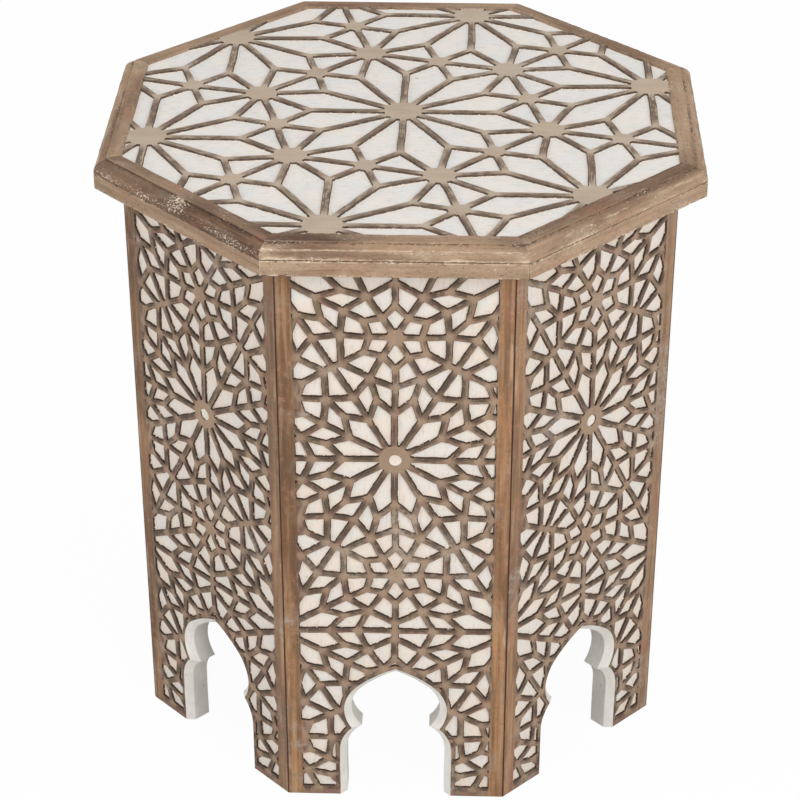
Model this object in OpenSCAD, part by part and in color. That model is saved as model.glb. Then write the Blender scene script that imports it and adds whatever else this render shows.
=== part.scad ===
// Octagonal side table with a carved top and eight carved, arched side panels.
// The origin is on the floor at the middle of the table, and the front faces -Y.
// Pieces that come in eights are numbered from the front, anticlockwise as seen from above.

/* [Whole table] */
// Width of the top across its flats
top_w = 457; // [447:1:520]
// Height from the floor to the face of the top
table_h = 508; // [420:1:620]
// How far the top stands out past the body
overhang = 20; // [16:0.5:36]

/* [Top board] */
// Thickness of the board
board_t = 11; // [10.5:0.5:16]
// Radius of the rounded rim
rim_r = 8.8; // [4:0.1:8.9]
// Height of the step between the rounded rim and the plain border
rim_step = 1.2; // [0.4:0.1:2]
// Width of the plain border round the carving
border_w = 12; // [6:0.5:30]

/* [Edge strips] */
// Height of the mitred strips under the rim
strip_h = 13; // [8:0.5:22]
// Bevel along the outer edges of a strip
strip_bevel = 0.8; // [0.3:0.1:2]
// Play between a strip and the panel that it runs along
strip_play = 0.2; // [0.1:0.05:0.6]

/* [Side panels] */
// Thickness of a panel
panel_t = 20; // [16:0.5:26]
// Width of the plain stile along each side of a panel
stile_w = 12.5; // [8:0.5:22]
// Height of the plain strip at the foot of a panel
foot_rail = 9; // [5:0.5:20]
// Height of the plain strip between the carving and the edge strip above it
top_rail = 2; // [0:0.5:12]
// Width of the plain rim that follows the arch
arch_rim = 3.5; // [2:0.5:8]

/* [Arch] */
// Height of the arch's point above the floor
arch_h = 127; // [118:1:131]
// Widest part of the arch, on the face
arch_w = 81; // [78:1:90]
// Height of that widest part
arch_waist_z = 86; // [82:1:92]
// Radius of the arch at its widest part
arch_r = 31; // [28:0.5:34]
// Angle at which the round sides turn into the flatter crown
crown_turn = 49; // [44:1:56]
// Gap between the two feet of a panel, on the face
foot_gap = 88.6; // [86:0.2:98]
// Height at which the inside of a foot starts to round in
foot_turn_z = 46; // [40:1:50]
// Radius of that rounding
foot_r = 30; // [27:0.5:33]
// Painted bevel round the arch
arch_bevel = 5.5; // [2:0.5:7]

/* [Carving] */
// Depth of the carved pockets
carve_depth = 2; // [1:0.1:3]
// Distance between two neighbouring stars of the top
top_star = 200; // [150:1:260]
// Turn of the top's star pattern
top_star_turn = 15; // [0:1:60]
// Width of the bars left standing on the top
top_bar = 6; // [3:0.1:8]
// Distance between two neighbouring stars of the sides
side_star = 181; // [140:1:220]
// Height of the star at the middle of each panel
side_star_z = 320; // [260:1:380]
// Width of the bars left standing on the sides
side_bar = 5.4; // [3:0.1:6]
// Radius of the round hub at the heart of a star of the top
top_hub_r = 15.7; // [12:0.1:20]
// Radius of the hubs between three stars of the top
top_flower_hub_r = 13; // [9:0.1:16]
// Radius of the hubs between two stars of the top
top_half_way_hub_r = 8.9; // [6:0.1:12]
// Radius of the round hub at the heart of a side star
side_hub_r = 12.5; // [8:0.1:15]
// Radius of the dimple in the middle of that hub
side_dimple_r = 4.5; // [2:0.1:6]
// Radius of the hub of a small side flower
side_flower_hub_r = 7; // [4:0.1:9]

/* [Inner frame] */
// Length of a corner block's two glued faces
block_leg = 28; // [18:1:36]
// Depth of a corner block, from the corner inwards
block_depth = 30; // [20:1:40]
// Height above the floor at which the corner blocks start
block_z = 150; // [140:1:260]
// Width and height of the cleats under the board
cleat_w = 22; // [18:0.5:30]
// Gap between the end of a cleat and the corner block beside it
cleat_play = 1.5; // [0.5:0.5:6]
// Gap taken up by the glue in every joint
glue_gap = 0.1; // [0.05:0.05:0.3]

/* [Screws] */
// Radius of a screw's shank
screw_r = 2; // [1.5:0.1:2.5]
// Play between a shank and its hole
screw_play = 0.05; // [0.02:0.01:0.2]
// Radius of a screw's countersunk head
head_r = 4; // [3.5:0.1:4.5]
// Wood left between a screw's point and the floor of the carving
screw_cover = 2.5; // [1:0.1:4]
// Distance from each end of a cleat to its side screw
end_screw_in = 18; // [8:1:36]

/* [Hidden] */
SIDES = 8;
$fn = 64;

WOOD = "#8f7359";
INNER_WOOD = "#a88a68";
STEEL = "#b5b5ad";

turn_step = 360 / SIDES;
half_corner = turn_step / 2;
// Overshoot of every cut past the face that it opens
over = 1;

base_w = top_w - 2 * overhang;
board_z = table_h - board_t;
carving_w = top_w - 2 * rim_r - 2 * border_w;
panel_w = base_w * tan(half_corner);
panel_field_w = panel_w - 2 * stile_w;
inner_r = base_w / 2 - panel_t;
inner_w = 2 * inner_r * tan(half_corner);
field_top_z = board_z - strip_h - top_rail;
block_corner_r = (inner_r - glue_gap) / cos(half_corner);
cleat_len = inner_w - 2 * block_leg - 2 * cleat_play;
cleat_r = inner_r - glue_gap - cleat_w / 2;
head_h = head_r - screw_r;
board_screw_len = cleat_w + glue_gap + board_t - carve_depth - screw_cover;
cleat_screw_len = cleat_w + glue_gap + panel_t - carve_depth - screw_cover;

// Centres of the arcs on the right of an arch. The flatter crown of each side has its centre
// past the middle, so that it leaves the round side at crown_turn and ends in the arch's point.
foot_c = [foot_gap / 2 - foot_r, foot_turn_z];
side_c = [arch_w / 2 - arch_r, arch_waist_z];
crown_way = polar(1, crown_turn);
crown_rise = [0, arch_h] - side_c;
crown_r = (crown_rise * crown_rise - 2 * arch_r * (crown_rise * crown_way) + arch_r ^ 2)
    / (2 * (arch_r - crown_rise * crown_way));
crown_c = side_c - (crown_r - arch_r) * crown_way;
crown_root = [0, side_c[1] - side_c[0] * tan(crown_turn)];

function numbered(name) = [for (i = [1:SIDES]) str(name, "_", i)];

// Points and outlines
function polar(r, a) = [r * cos(a), r * sin(a)];
function turned(p, a) = [p[0] * cos(a) - p[1] * sin(a), p[0] * sin(a) + p[1] * cos(a)];
function flipped(p) = [p[0], -p[1]];
function reversed(list) = [for (i = [len(list) - 1:-1:0]) list[i]];

// The line from p to q, moved to its left by d, as a point and a direction
function moved_line(p, q, d) =
    let (way = (q - p) / norm(q - p))
    [p + d * [-way[1], way[0]], way];
function crossing(a, b) =
    let (gap = b[0] - a[0], k = cross(a[1], b[1]))
    a[0] + a[1] * cross(gap, b[1]) / k;
// A convex outline with each of its sides moved inwards by d
function inset(outline, d) =
    let (n = len(outline))
    [for (i = [0:n - 1])
        crossing(
            moved_line(outline[(i + n - 1) % n], outline[i], d),
            moved_line(outline[i], outline[(i + 1) % n], d)
        )
    ];

// Star patterns. Both repeat on a grid of triangles with stars at its corners. Lengths are shares
// of the distance between two stars. Every cell lies in the slice from 0 to 30 degrees about a star,
// or across its edge, and the other slices are turned and flipped copies of it.
flower = polar(1 / sqrt(3), 30);
half_way = [0.5, 0];

// Top: how far the rays of a star reach before they fork
ray = 0.36;
top_slice = [
    [polar(ray, 15), half_way, flower]
];
top_kites = [
    [[0, 0], polar(ray, -15), half_way, polar(ray, 15)],
    [[0, 0], polar(ray, 15), flower, polar(ray, 45)]
];

// Sides: the rings of knots round a star, and round the small flowers between the stars
fork = 0.215;
petal = 0.295;
knot = 0.34;
outer_knot = 0.4;
flower_knot = 0.102;
flower_tip = 0.145;
spur = [0.5, 0.04];
low_knot = flower + polar(flower_knot, 240);
low_tip = flower + polar(flower_tip, 270);
near_tip = flower + polar(flower_tip, 210);
side_slice = [
    [[0, 0], polar(fork, 0), polar(petal, 15), polar(fork, 30)],
    [polar(fork, 0), polar(knot, 0), polar(outer_knot, 15), polar(petal, 15)],
    [polar(fork, 30), polar(petal, 15), polar(outer_knot, 15), polar(knot, 30)],
    [polar(knot, 0), half_way, spur, polar(outer_knot, 15)],
    [polar(outer_knot, 15), spur, low_tip, low_knot],
    [polar(knot, 30), polar(outer_knot, 15), low_knot, near_tip]
];
side_petals = [
    [flower, low_knot, low_tip, flower + polar(flower_knot, 300)],
    [flower, flower + polar(flower_knot, 180), near_tip, low_knot]
];

function turned_cell(cell, a) = [for (p = cell) turned(p, a)];
function flipped_cell(cell) = reversed([for (p = cell) flipped(p)]);
function round_star(cells) = [for (k = [0:5], cell = cells) turned_cell(cell, 60 * k)];
function both_hands(cells) = concat(cells, [for (cell = cells) flipped_cell(cell)]);
// The petals of the two flowers that belong to one star of the grid
function round_flower(cells) = [
    for (k = [0:2], cell = cells) [for (p = cell) flower + turned(p - flower, 120 * k)]
];

// The hubs that belong to one star of the grid, as points and radii
function hubs(star_r, flower_r, half_way_r) = concat(
    [[[0, 0], star_r]],
    [for (k = [0:1]) [turned(flower, 60 * k), flower_r]],
    [for (k = [0:2]) [turned(half_way, 60 * k), half_way_r]]
);

top_cells = concat(round_star(both_hands(top_slice)), round_star(top_kites));
side_cells = concat(round_star(both_hands(side_slice)), both_hands(round_flower(side_petals)));

// The pockets between the bars and hubs of a pattern, as far as reach from the origin each way
module star_pockets(cells, hubs, star, bar, tilt, reach) {
    n = ceil(reach / star) + 1;
    centres = [for (i = [-n:n], j = [-n:n]) star * [i + j / 2, j * sqrt(3) / 2]];
    pockets = [for (cell = cells) inset(cell * star, bar / 2)];
    rotate(tilt)
        difference() {
            for (centre = centres, pocket = pockets) {
                placed = [for (p = pocket) p + centre];
                if (min([for (p = placed) norm(p)]) < reach * sqrt(2))
                    polygon(placed);
            }
            for (centre = centres, hub = hubs)
                if (hub[1] > 0 && norm(centre + hub[0] * star) < reach * sqrt(2))
                    translate(centre + hub[0] * star)
                        circle(hub[1]);
        }
}

module octagon(across) {
    rotate(half_corner)
        circle(r = across / 2 / cos(half_corner), $fn = SIDES);
}

// One of the eight slices of the table, facing -Y, short of the mitres by half a glue gap
module slice_of_table(h) {
    reach = top_w;
    tip = glue_gap / 2 / sin(half_corner);
    translate([0, -tip, 0])
        linear_extrude(h)
            polygon([
                [0, 0],
                [-reach * tan(half_corner), -reach],
                [reach * tan(half_corner), -reach]
            ]);
}

module for_side(i) {
    rotate(turn_step * (i - 1))
        children();
}

// Turns a drawing made in X and Z, so that it stands at distance r and faces the front
module on_front(r) {
    translate([0, -r, 0])
        rotate([90, 0, 0])
            children();
}

// The arch's outline, from below the floor to its point, grown by d
module arch_area(d) {
    translate([-foot_gap / 2 - d, -over])
        square([foot_gap + 2 * d, foot_turn_z + over]);
    for (hand = [0, 1])
        mirror([hand, 0]) {
            translate(foot_c)
                circle(foot_r + d);
            translate(side_c)
                circle(arch_r + d);
        }
    intersection() {
        crown_wedge();
        for_both_crowns()
            circle(crown_r + d);
    }
    polygon([foot_c, side_c, [-side_c[0], side_c[1]], [-foot_c[0], foot_c[1]]]);
}

// The stretch of the arch where the flatter crown takes over from the round sides
module crown_wedge() {
    polygon([
        crown_root,
        crown_root + polar(arch_h, crown_turn),
        crown_root + polar(arch_h, 180 - crown_turn)
    ]);
}

module for_both_crowns() {
    intersection_for(hand = [0, 1])
        mirror([hand, 0, 0])
            translate(crown_c)
                children();
}

// A bevel's cone of radius r at the face, running past the face and down to the straight part
module bevel_cone(r) {
    translate([0, 0, -arch_bevel])
        cylinder(h = arch_bevel + over, r1 = r - arch_bevel, r2 = r + over);
}

// The bevel round the arch, as drawn from the front with the face at height 0
module arch_bevel_cut() {
    rotate([-90, 0, 0])
        translate([0, 0, -over])
            linear_extrude(over + foot_turn_z)
                polygon([
                    [-foot_gap / 2 - over, -over],
                    [foot_gap / 2 + over, -over],
                    [foot_gap / 2 - arch_bevel, arch_bevel],
                    [-foot_gap / 2 + arch_bevel, arch_bevel]
                ]);
    for (hand = [0, 1])
        mirror([hand, 0, 0]) {
            translate(foot_c)
                bevel_cone(foot_r);
            translate(side_c)
                bevel_cone(arch_r);
        }
    intersection() {
        translate([0, 0, -arch_bevel])
            linear_extrude(arch_bevel + over)
                crown_wedge();
        for_both_crowns()
            bevel_cone(crown_r);
    }
}

// The opening through a panel
module arch_cut() {
    on_front(base_w / 2)
        arch_bevel_cut();
    on_front(inner_r - over)
        linear_extrude(panel_t + 2 * over)
            arch_area(-arch_bevel);
}

// A countersunk screw along Z with its head's face at 0 and its point up
module screw(length) {
    slot_w = screw_r / 2;
    point_h = screw_r * 1.5;
    difference() {
        union() {
            cylinder(h = head_h, r1 = head_r, r2 = screw_r);
            cylinder(h = length - point_h, r = screw_r);
            translate([0, 0, length - point_h])
                cylinder(h = point_h, r1 = screw_r, r2 = screw_r / 4);
        }
        for (a = [0, 90])
            rotate(a)
                translate([-screw_r, -slot_w / 2, -over])
                    cube([2 * screw_r, slot_w, over + head_h / 2]);
    }
}

module screw_hole(length) {
    cylinder(h = head_h, r1 = head_r + screw_play, r2 = screw_r + screw_play);
    translate([0, 0, -over])
        cylinder(h = over + length + screw_play, r = screw_r + screw_play);
}

// Screws up through each cleat into the board
module at_board_screws() {
    for (i = [1:SIDES])
        for_side(i)
            translate([0, -cleat_r, board_z - glue_gap - cleat_w])
                children();
}

// Screws out through one cleat into its panel
module at_cleat_screws() {
    for (x = [-1, 1] * (cleat_len / 2 - end_screw_in))
        translate([x, -cleat_r + cleat_w / 2, board_z - glue_gap - cleat_w / 2])
            rotate([90, 0, 0])
                children();
}

module top_board() {
    color(WOOD)
        difference() {
            intersection_for(a = [0:turn_step:180 - turn_step])
                rotate(a)
                    rotate([90, 0, 0])
                        linear_extrude(top_w * 2, center = true)
                            rim_section();
            translate([0, 0, table_h - carve_depth])
                linear_extrude(carve_depth + over)
                    intersection() {
                        octagon(carving_w);
                        star_pockets(
                            top_cells, hubs(top_hub_r, top_flower_hub_r, top_half_way_hub_r),
                            top_star, top_bar, top_star_turn, carving_w / 2
                        );
                    }
            at_board_screws()
                screw_hole(board_screw_len);
        }
}

// Section across the board: flat on top, a small step down, then a quarter round
module rim_section() {
    square_r = top_w / 2 - rim_r;
    round_z = table_h - rim_step - rim_r;
    translate([-square_r, board_z])
        square([2 * square_r, board_t]);
    intersection() {
        translate([-top_w / 2, board_z])
            square([top_w, board_t - rim_step]);
        for (x = [-1, 1] * square_r)
            translate([x, round_z])
                circle(rim_r);
    }
    translate([-top_w / 2, board_z])
        square([top_w, round_z - board_z]);
}

module edge_strip(i) {
    inner = base_w / 2 + strip_play;
    outer = top_w / 2;
    color(WOOD)
        for_side(i)
            intersection() {
                slice_of_table(table_h);
                rotate([90, 0, 90])
                    linear_extrude(top_w, center = true)
                        polygon([
                            [-inner, board_z - strip_h],
                            [-inner, board_z - glue_gap],
                            [-outer + strip_bevel, board_z - glue_gap],
                            [-outer, board_z - glue_gap - strip_bevel],
                            [-outer, board_z - strip_h + strip_bevel],
                            [-outer + strip_bevel, board_z - strip_h]
                        ]);
            }
}

module side_panel(i) {
    color(WOOD)
        for_side(i)
            difference() {
                intersection() {
                    slice_of_table(board_z - glue_gap);
                    translate([-panel_w, -base_w / 2, 0])
                        cube([2 * panel_w, panel_t, board_z]);
                }
                arch_cut();
                on_front(base_w / 2 - carve_depth)
                    linear_extrude(carve_depth + over)
                        panel_pockets();
                at_cleat_screws()
                    screw_hole(cleat_screw_len);
            }
}

module panel_pockets() {
    field_h = field_top_z - foot_rail;
    reach = max(side_star_z - foot_rail, field_top_z - side_star_z);
    intersection() {
        translate([0, side_star_z]) {
            star_pockets(
                side_cells, hubs(side_hub_r, side_flower_hub_r, 0), side_star, side_bar, 0, reach
            );
            circle(side_dimple_r);
        }
        difference() {
            translate([-panel_field_w / 2, foot_rail])
                square([panel_field_w, field_h]);
            arch_area(arch_rim);
        }
    }
}

module corner_block(i) {
    leg_way = 90 - half_corner;
    color(INNER_WOOD)
        for_side(i)
            rotate(half_corner)
                translate([0, -block_corner_r, block_z])
                    linear_extrude(board_z - glue_gap - block_z)
                        polygon([
                            [0, 0],
                            polar(block_leg, 90 - leg_way),
                            [0, block_depth],
                            polar(block_leg, 90 + leg_way)
                        ]);
}

module top_cleat(i) {
    color(INNER_WOOD)
        for_side(i)
            difference() {
                translate([-cleat_len / 2, -cleat_r - cleat_w / 2, board_z - glue_gap - cleat_w])
                    cube([cleat_len, cleat_w, cleat_w]);
                translate([0, -cleat_r, board_z - glue_gap - cleat_w])
                    screw_hole(board_screw_len);
                at_cleat_screws()
                    screw_hole(cleat_screw_len);
            }
}

module board_screws() {
    color(STEEL)
        at_board_screws()
            screw(board_screw_len);
}

module cleat_screws() {
    color(STEEL)
        for (i = [1:SIDES])
            for_side(i)
                at_cleat_screws()
                    screw(cleat_screw_len);
}

top_board();
for (i = [1:SIDES]) {
    edge_strip(i);
    side_panel(i);
    corner_block(i);
    top_cleat(i);
}
board_screws();
cleat_screws();
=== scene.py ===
# %% [markdown]
# # An octagonal side table, carved, limewashed and worn
# The real table is made of eight carved boards, mitred into a ring, with an octagonal carved board
# on top. It could be modelled as one piece, but each board is a plank of its own with its own
# grain, so each is made as one here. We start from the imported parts, which fix every size.

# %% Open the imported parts
from math import acos, atan2, ceil, cos, radians, sin, sqrt, tan

import bmesh
import bpy
from mathutils import Matrix, Vector, kdtree, noise


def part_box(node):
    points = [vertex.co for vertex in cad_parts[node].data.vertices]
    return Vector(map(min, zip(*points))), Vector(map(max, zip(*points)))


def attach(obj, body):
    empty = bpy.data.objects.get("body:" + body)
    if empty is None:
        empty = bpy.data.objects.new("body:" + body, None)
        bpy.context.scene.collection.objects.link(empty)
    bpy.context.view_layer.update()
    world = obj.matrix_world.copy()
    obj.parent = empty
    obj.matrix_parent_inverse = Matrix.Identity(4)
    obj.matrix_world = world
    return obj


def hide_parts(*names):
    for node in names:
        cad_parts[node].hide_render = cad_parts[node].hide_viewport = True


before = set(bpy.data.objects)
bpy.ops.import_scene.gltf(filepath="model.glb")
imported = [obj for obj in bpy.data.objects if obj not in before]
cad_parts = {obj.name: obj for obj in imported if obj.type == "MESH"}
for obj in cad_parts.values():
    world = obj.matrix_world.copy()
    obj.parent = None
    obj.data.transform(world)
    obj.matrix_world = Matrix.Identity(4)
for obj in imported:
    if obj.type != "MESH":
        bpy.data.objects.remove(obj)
bpy.context.view_layer.update()

# %% [markdown]
# ## The bench
# Every plank is worked lying on a bench, with its face up at height 0, its width along X and its
# length along Y. It stands up in its place only when it is finished. The sizes come from the
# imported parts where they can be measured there, and the others are those of the same parts.

# %% Sizes of the planks
mm = 0.001
SIDES = 8
HALF_CORNER = radians(180 / SIDES)

panel_low, panel_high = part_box("side_panel_1")
body_r = -panel_low.y
panel_half_w = panel_high.x
panel_h = panel_high.z
panel_t = panel_high.y - panel_low.y

board_low, board_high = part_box("top_board")
top_r = board_high.x
board_low_z = board_low.z
table_h = board_high.z

strip_low, strip_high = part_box("edge_strip_1")
print("panel width", 2 * panel_half_w, "height", panel_h, "thickness", panel_t)
print("top half width", top_r, "height", table_h)


# %% Choose what the next tool works on
def pick(*pieces):
    """Selects these pieces and nothing else, with the first one active."""
    bpy.ops.object.select_all(action="DESELECT")
    for piece in pieces:
        piece.select_set(True)
    bpy.context.view_layer.objects.active = pieces[0]


def start_editing(piece, chosen="DESELECT"):
    """Opens a piece in edit mode with nothing selected, or with everything."""
    pick(piece)
    bpy.ops.object.mode_set(mode="EDIT")
    bpy.ops.mesh.select_mode(type="FACE")
    bpy.ops.mesh.select_all(action=chosen)


def stop_editing():
    bpy.ops.object.mode_set(mode="OBJECT")


def choose(piece, kind, wanted):
    """Selects the faces or the edges for which wanted is true, in edit mode."""
    bpy.ops.mesh.select_mode(type=kind)
    bpy.ops.mesh.select_all(action="DESELECT")
    mesh = bmesh.from_edit_mesh(piece.data)
    for item in mesh.faces if kind == "FACE" else mesh.edges:
        if wanted(item):
            item.select_set(True)


# %% Shape a flat outline, and draw a solid up through several of them
def outline(name, points, height=0.0):
    """A flat face with its corners at these points."""
    bpy.ops.object.select_all(action="DESELECT")
    bpy.ops.mesh.primitive_circle_add(vertices=len(points), radius=0.1, fill_type="NGON")
    piece = bpy.context.object
    piece.name = name
    for vertex, point in zip(piece.data.vertices, points):
        vertex.co = (point[0], point[1], height)
    return piece


def loft(name, levels):
    """A solid through outlines at several heights, given as (height, points), from the lowest up."""
    piece = outline(name, levels[0][1], levels[0][0])
    start_editing(piece, "SELECT")
    for height, points in levels[1:]:
        bpy.ops.mesh.extrude_region_move()
        lid = [face for face in bmesh.from_edit_mesh(piece.data).faces if face.select][0]
        for vertex, point in zip(lid.verts, points):
            vertex.co = (point[0], point[1], height)
    bpy.ops.mesh.select_all(action="SELECT")
    bpy.ops.mesh.normals_make_consistent(inside=False)
    stop_editing()
    return piece


# %% Copy, join and cut
def copy_of(piece, place=Matrix.Identity(4)):
    """A copy with its own mesh, moved by a matrix. A mirrored copy has its faces turned back."""
    twin = piece.copy()
    twin.data = piece.data.copy()
    twin.data.transform(place)
    if place.determinant() < 0:
        twin.data.flip_normals()
    bpy.context.collection.objects.link(twin)
    return twin


def joined(pieces):
    """Several pieces made one."""
    pick(*pieces)
    bpy.ops.object.join()
    return bpy.context.object


def cut(piece, tool, way="DIFFERENCE"):
    """Cuts a piece with a solid, which is used up."""
    pick(piece)
    modifier = piece.modifiers.new("cut", "BOOLEAN")
    modifier.operation = way
    modifier.solver = "MANIFOLD"
    modifier.object = tool
    bpy.ops.object.modifier_apply(modifier=modifier.name)
    bpy.data.objects.remove(tool)


def swept(piece):
    """Merges points that lie on each other, with the slivers between them."""
    start_editing(piece, "SELECT")
    bpy.ops.mesh.remove_doubles(threshold=0.0005 * mm)
    stop_editing()


# %% Let a hand-made line wander
def wandered(piece, seed, swings):
    """Moves every corner a little. Each swing is (how far, over what length)."""
    start = Vector((seed * 1.37, seed * 0.71, seed * 2.19))
    aside = Vector((9.3, -1.5, -7.9))
    for vertex in piece.data.vertices:
        flat = Vector((vertex.co.x, vertex.co.y, 0))
        for far, length in swings:
            place = flat / length + start
            vertex.co.x += far * noise.noise(place)
            vertex.co.y += far * noise.noise(place + aside)


# %% [markdown]
# ## The star pattern of the sides
# The carving is a pattern of stars with twelve points, on a grid of triangles. It could be drawn
# star by star, but one slice of 30 degrees holds every kind of cell. So the six cells of the slice
# and two petals of the small flowers are drawn, and the rest are mirrored and turned copies.

# %% One slice of a side star
def polar(r, degrees):
    return Vector((r * cos(radians(degrees)), r * sin(radians(degrees))))


FLOWER = polar(1 / sqrt(3), 30)
HALF_WAY = Vector((0.5, 0))
HEART = Vector((0, 0))

fork = 0.215
petal = 0.295
knot = 0.34
outer_knot = 0.4
flower_knot = 0.102
flower_tip = 0.145
spur = Vector((0.5, 0.04))
low_knot = FLOWER + polar(flower_knot, 240)
low_tip = FLOWER + polar(flower_tip, 270)
near_tip = FLOWER + polar(flower_tip, 210)
side_slice = [
    [HEART, polar(fork, 0), polar(petal, 15), polar(fork, 30)],
    [polar(fork, 0), polar(knot, 0), polar(outer_knot, 15), polar(petal, 15)],
    [polar(fork, 30), polar(petal, 15), polar(outer_knot, 15), polar(knot, 30)],
    [polar(knot, 0), HALF_WAY, spur, polar(outer_knot, 15)],
    [polar(outer_knot, 15), spur, low_tip, low_knot],
    [polar(knot, 30), polar(outer_knot, 15), low_knot, near_tip],
]
side_petals = [
    [FLOWER, low_knot, low_tip, FLOWER + polar(flower_knot, 300)],
    [FLOWER, FLOWER + polar(flower_knot, 180), near_tip, low_knot],
]


# %% Turn the slice into a star, and the star into a field of stars
def turn(degrees, about=HEART):
    middle = Matrix.Translation(about.to_3d())
    return middle @ Matrix.Rotation(radians(degrees), 4, "Z") @ middle.inverted()


def cells(name, corner_lists, star):
    """The cells of one slice, drawn at the size of a star."""
    drawn = []
    for corners in corner_lists:
        points = [corner * star for corner in corners]
        area = sum(a.cross(b) for a, b in zip(points, points[1:] + points[:1]))
        drawn.append(outline(name, points if area > 0 else points[::-1]))
    return joined(drawn)


def mirrored_too(piece):
    return joined([piece, copy_of(piece, Matrix.Diagonal((1, -1, 1, 1)))])


def turned_copies(piece, count, degrees, about=HEART):
    copies = [copy_of(piece, turn(k * degrees, about)) for k in range(1, count)]
    return joined([piece] + copies)


def field_of_stars(star_piece, centres, tilt=0):
    """The star repeated at each centre. The first piece is used up."""
    copies = []
    for centre in centres:
        place = Matrix.Translation((centre[0], centre[1], 0)) @ turn(tilt)
        copies.append(copy_of(star_piece, place))
    bpy.data.objects.remove(star_piece)
    return joined(copies)


side_star = 181 * mm
star_height = 320 * mm
row = side_star * sqrt(3) / 2
side_centres = [
    (0, star_height),
    (-side_star / 2, star_height + row),
    (side_star / 2, star_height + row),
    (-side_star / 2, star_height - row),
    (side_star / 2, star_height - row),
    (0, star_height - 2 * row),
]
slice_cells = turned_copies(mirrored_too(cells("slice", side_slice, side_star)), 6, 60)
petals = turned_copies(cells("petals", side_petals, side_star), 3, 120, FLOWER * side_star)
side_cells = field_of_stars(joined([slice_cells, mirrored_too(petals)]), side_centres)
print("cells drawn for one side:", len(side_cells.data.polygons))

# %% [markdown]
# ## Pockets
# A carver leaves bars standing between the cells and sinks what is inside them. Each cell is
# therefore drawn down into a pocket in three slopes: the bar's top, which is rubbed slightly round,
# its edge, and a wall down to the floor. The slopes are also what the finish reads later, to know
# how near the edge of a bar it is. All pockets of a board are cut at once.

# %% Draw the cells down into pockets
carve_depth = 2 * mm
lid_height = 1 * mm
corner_round = 0.3 * mm
crown_drop = 0.05 * mm
edge_drop = 0.3 * mm
side_slopes = (0.2 * mm, 1.95 * mm, 2.25 * mm, 2.85 * mm)
top_slopes = (0.3 * mm, 2.2 * mm, 2.5 * mm, 3.1 * mm)
slope_depths = (0, crown_drop, edge_drop, carve_depth)
bar_step = 4 * mm


def drop_cells(piece, outside):
    """Takes away the cells that lie wholly outside."""
    start_editing(piece)
    choose(piece, "FACE", lambda face: all(outside(vertex.co) for vertex in face.verts))
    bpy.ops.mesh.delete(type="FACE")
    stop_editing()


def fall(edge):
    """How far an edge runs up or down."""
    return abs(edge.verts[0].co.z - edge.verts[1].co.z)


def knots_of(piece):
    """The points where bars meet, which are the corners of the cells."""
    spots = {(round(v.co.x, 4), round(v.co.y, 4)) for v in piece.data.vertices}
    return sorted(spots)


def bars_of(piece):
    """Points along the middle of each bar, with the bar's direction and number."""
    found = []
    for edge in piece.data.edges:
        first, second = [piece.data.vertices[k].co.xy for k in edge.vertices]
        count = ceil((second - first).length / bar_step)
        for k in range(count):
            middle = first + (second - first) * (k + 0.5) / count
            found.append((middle, (second - first).normalized(), edge.index))
    return found


def sink(piece, slopes, long_edge):
    """Makes each cell a pocket. Slopes are the distances from the middle of a bar at each depth."""
    start_editing(piece, "SELECT")
    bpy.ops.mesh.inset(thickness=slopes[0], use_individual=True)
    bpy.ops.mesh.select_all(action="INVERT")
    bpy.ops.mesh.delete(type="FACE")
    bpy.ops.mesh.select_all(action="SELECT")
    bpy.ops.mesh.extrude_region_move(TRANSFORM_OT_translate={"value": (0, 0, lid_height)})
    choose(piece, "FACE", lambda face: face.normal.z < -0.5)
    for k in range(3):
        wide = slopes[k + 1] - slopes[k]
        deep = slope_depths[k + 1] - slope_depths[k]
        bpy.ops.mesh.inset(thickness=wide, depth=deep, use_individual=True)
    choose(piece, "EDGE", lambda edge: fall(edge) > 0.02 * mm)
    bpy.ops.mesh.bevel(offset=corner_round, segments=2, affect="EDGES", clamp_overlap=False)
    for length in (4 * long_edge, 2 * long_edge, long_edge):
        choose(piece, "EDGE", lambda edge: fall(edge) < 0.01 * mm and edge.calc_length() > length)
        bpy.ops.mesh.subdivide(number_cuts=1)
    stop_editing()


# %% The window of one side, and the pockets that reach into it
side_bar = 5.4 * mm
stile_w = 12.5 * mm
field_half_w = body_r * tan(HALF_CORNER) - stile_w
field_low = 9 * mm
field_high = 482 * mm
margin = 4 * mm
side_knot_r = 2.6 * mm
side_long_edge = 2.6 * mm


def outside_field(point):
    beyond = not field_low - margin < point.y < field_high + margin
    return beyond or abs(point.x) > field_half_w + margin


drop_cells(side_cells, outside_field)
side_knots = [(spot, side_knot_r) for spot in knots_of(side_cells)]
side_bars = bars_of(side_cells)
sink(side_cells, side_slopes, side_long_edge)
print("pocket faces of one side:", len(side_cells.data.polygons))

# %% [markdown]
# ## The arch
# Each board stands on two feet with a pointed, lobed arch between them. Its outline is made of
# arcs: a round-in above each foot, a round lobe, and a flatter crown that runs up to the point.
# The same arcs with smaller radii give the lines inside it, so the wide bevel is drawn as a solid
# through two such outlines, which has the same number of points at each level.

# %% The arcs of the arch
foot_centre = Vector((14.3, 46))
foot_r = 30
lobe_centre = Vector((9.5, 86))
lobe_r = 31
crown_turn = radians(49)
arch_top = Vector((0, 127))
crown_way = Vector((cos(crown_turn), sin(crown_turn)))
rise = arch_top - lobe_centre
crown_r = (rise.dot(rise) - 2 * lobe_r * rise.dot(crown_way) + lobe_r ** 2) / (
    2 * (lobe_r - rise.dot(crown_way))
)
crown_centre = lobe_centre - (crown_r - lobe_r) * crown_way
bevel_w = 5.5
foot_heights = (-2, 8, 16, 24, 32, 39)


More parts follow.
